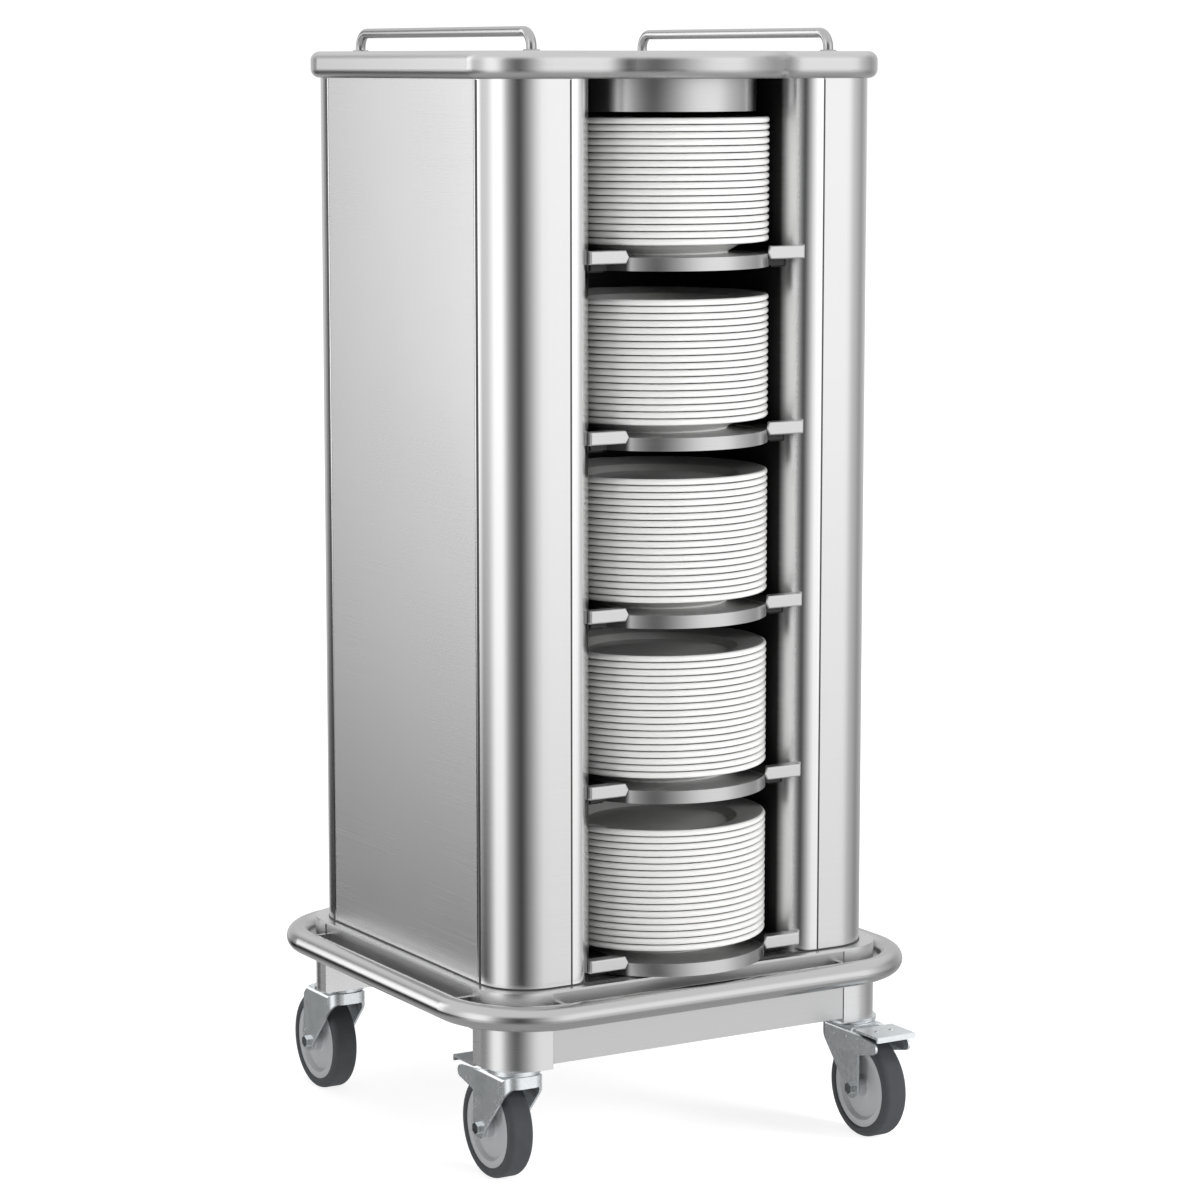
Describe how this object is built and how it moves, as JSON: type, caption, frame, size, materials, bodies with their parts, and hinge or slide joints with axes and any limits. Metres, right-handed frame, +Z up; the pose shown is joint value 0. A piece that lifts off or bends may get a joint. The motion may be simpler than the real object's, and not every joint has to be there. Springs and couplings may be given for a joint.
{
  "type": "plate dispenser trolley",
  "caption": "Tall stainless plate dispenser cabinet on braked swivel casters, with open shelf bays holding stacks of plates, a bumper rail and rod handles on top.",
  "frame": {"origin": "on the floor, under the middle of the cabinet", "axes": "+Z up, -Y out of the pictured front, +X to the right of someone facing that front"},
  "size_m": [0.641, 0.667, 1.359],
  "materials": {
    "panel_steel": "fine brushed",
    "shelf_steel": "satin",
    "tube_steel": "polished satin",
    "zinc_steel": "bright zinc plate",
    "porcelain": "glossy white glaze",
    "hub_plastic": "satin moulded",
    "tyre": "matt grey rubber"
  },
  "bodies": {
    "trolley": {"base_deck": "panel_steel", "bay_collars": "panel_steel", "bumper_brackets": "tube_steel", "bumper_rail": "tube_steel", "caster_head_back_left": "zinc_steel", "caster_head_back_right": "zinc_steel", "caster_head_front_left": "zinc_steel", "caster_head_front_right": "zinc_steel", "centre_partition": "shelf_steel", "corner_post_back_left": "panel_steel", "corner_post_back_right": "panel_steel", "corner_post_front_left": "panel_steel", "corner_post_front_right": "panel_steel", "corner_socket_back_left": "panel_steel", "corner_socket_back_right": "panel_steel", "corner_socket_front_left": "panel_steel", "corner_socket_front_right": "panel_steel", "end_beams": "panel_steel", "left_bay_wall": "panel_steel", "left_handle": "tube_steel", "left_side_panel": "panel_steel", "right_bay_wall": "panel_steel", "right_handle": "tube_steel", "right_side_panel": "panel_steel", "roof_panel": "shelf_steel", "shelf_1": "shelf_steel", "shelf_2": "shelf_steel", "shelf_3": "shelf_steel", "shelf_4": "shelf_steel", "shelf_5": "shelf_steel", "shelf_runners": "shelf_steel", "side_beams": "panel_steel", "stem_nuts": "zinc_steel", "stop_bars": "shelf_steel", "top_cover": "panel_steel"},
    "swivel_front_left": {"fork_front_left": "zinc_steel", "axle_front_left": "zinc_steel"},
    "wheel_front_left": {"wheel_hub_front_left": "hub_plastic", "tyre_front_left": "tyre"},
    "swivel_front_right": {"fork_front_right": "zinc_steel", "axle_front_right": "zinc_steel"},
    "wheel_front_right": {"wheel_hub_front_right": "hub_plastic", "tyre_front_right": "tyre"},
    "swivel_back_left": {"fork_back_left": "zinc_steel", "axle_back_left": "zinc_steel"},
    "wheel_back_left": {"wheel_hub_back_left": "hub_plastic", "tyre_back_left": "tyre"},
    "swivel_back_right": {"fork_back_right": "zinc_steel", "axle_back_right": "zinc_steel"},
    "wheel_back_right": {"wheel_hub_back_right": "hub_plastic", "tyre_back_right": "tyre"},
    "pedal_front_left": {"brake_pedal_front_left": "zinc_steel"},
    "pedal_front_right": {"brake_pedal_front_right": "zinc_steel"},
    "stack_1": {"plate_stack_1": "porcelain"},
    "stack_2": {"plate_stack_2": "porcelain"},
    "stack_3": {"plate_stack_3": "porcelain"},
    "stack_4": {"plate_stack_4": "porcelain"},
    "stack_5": {"plate_stack_5": "porcelain"}
  },
  "joints": [
    {"name": "swivel_front_left", "type": "hinge", "parent": "trolley", "child": "swivel_front_left", "pos_m": [-0.24, -0.23, 0.14], "axis": [0, 0, 1], "continuous": true},
    {"name": "spin_front_left", "type": "hinge", "parent": "swivel_front_left", "child": "wheel_front_left", "pos_m": [-0.24, -0.189, 0.0625], "axis": [1, 0, 0], "continuous": true},
    {"name": "brake_front_left", "type": "hinge", "parent": "swivel_front_left", "child": "pedal_front_left", "pos_m": [-0.24, -0.208, 0.1287], "axis": [-1, 0, 0], "range_deg": [0, 5]},
    {"name": "swivel_front_right", "type": "hinge", "parent": "trolley", "child": "swivel_front_right", "pos_m": [0.24, -0.23, 0.14], "axis": [0, 0, 1], "continuous": true},
    {"name": "spin_front_right", "type": "hinge", "parent": "swivel_front_right", "child": "wheel_front_right", "pos_m": [0.24, -0.271, 0.0625], "axis": [1, 0, 0], "continuous": true},
    {"name": "brake_front_right", "type": "hinge", "parent": "swivel_front_right", "child": "pedal_front_right", "pos_m": [0.24, -0.252, 0.1287], "axis": [1, 0, 0], "range_deg": [0, 5]},
    {"name": "swivel_back_left", "type": "hinge", "parent": "trolley", "child": "swivel_back_left", "pos_m": [-0.24, 0.23, 0.14], "axis": [0, 0, 1], "continuous": true},
    {"name": "spin_back_left", "type": "hinge", "parent": "swivel_back_left", "child": "wheel_back_left", "pos_m": [-0.24, 0.271, 0.0625], "axis": [1, 0, 0], "continuous": true},
    {"name": "swivel_back_right", "type": "hinge", "parent": "trolley", "child": "swivel_back_right", "pos_m": [0.24, 0.23, 0.14], "axis": [0, 0, 1], "continuous": true},
    {"name": "spin_back_right", "type": "hinge", "parent": "swivel_back_right", "child": "wheel_back_right", "pos_m": [0.24, 0.271, 0.0625], "axis": [1, 0, 0], "continuous": true},
    {"name": "take_out_stack_1", "type": "slide", "parent": "trolley", "child": "stack_1", "axis": [0, -1, 0], "range_m": [0, 0.3]},
    {"name": "take_out_stack_2", "type": "slide", "parent": "trolley", "child": "stack_2", "axis": [0, -1, 0], "range_m": [0, 0.3]},
    {"name": "take_out_stack_3", "type": "slide", "parent": "trolley", "child": "stack_3", "axis": [0, -1, 0], "range_m": [0, 0.3]},
    {"name": "take_out_stack_4", "type": "slide", "parent": "trolley", "child": "stack_4", "axis": [0, -1, 0], "range_m": [0, 0.3]},
    {"name": "take_out_stack_5", "type": "slide", "parent": "trolley", "child": "stack_5", "axis": [0, -1, 0], "range_m": [0, 0.3]}
  ]
}
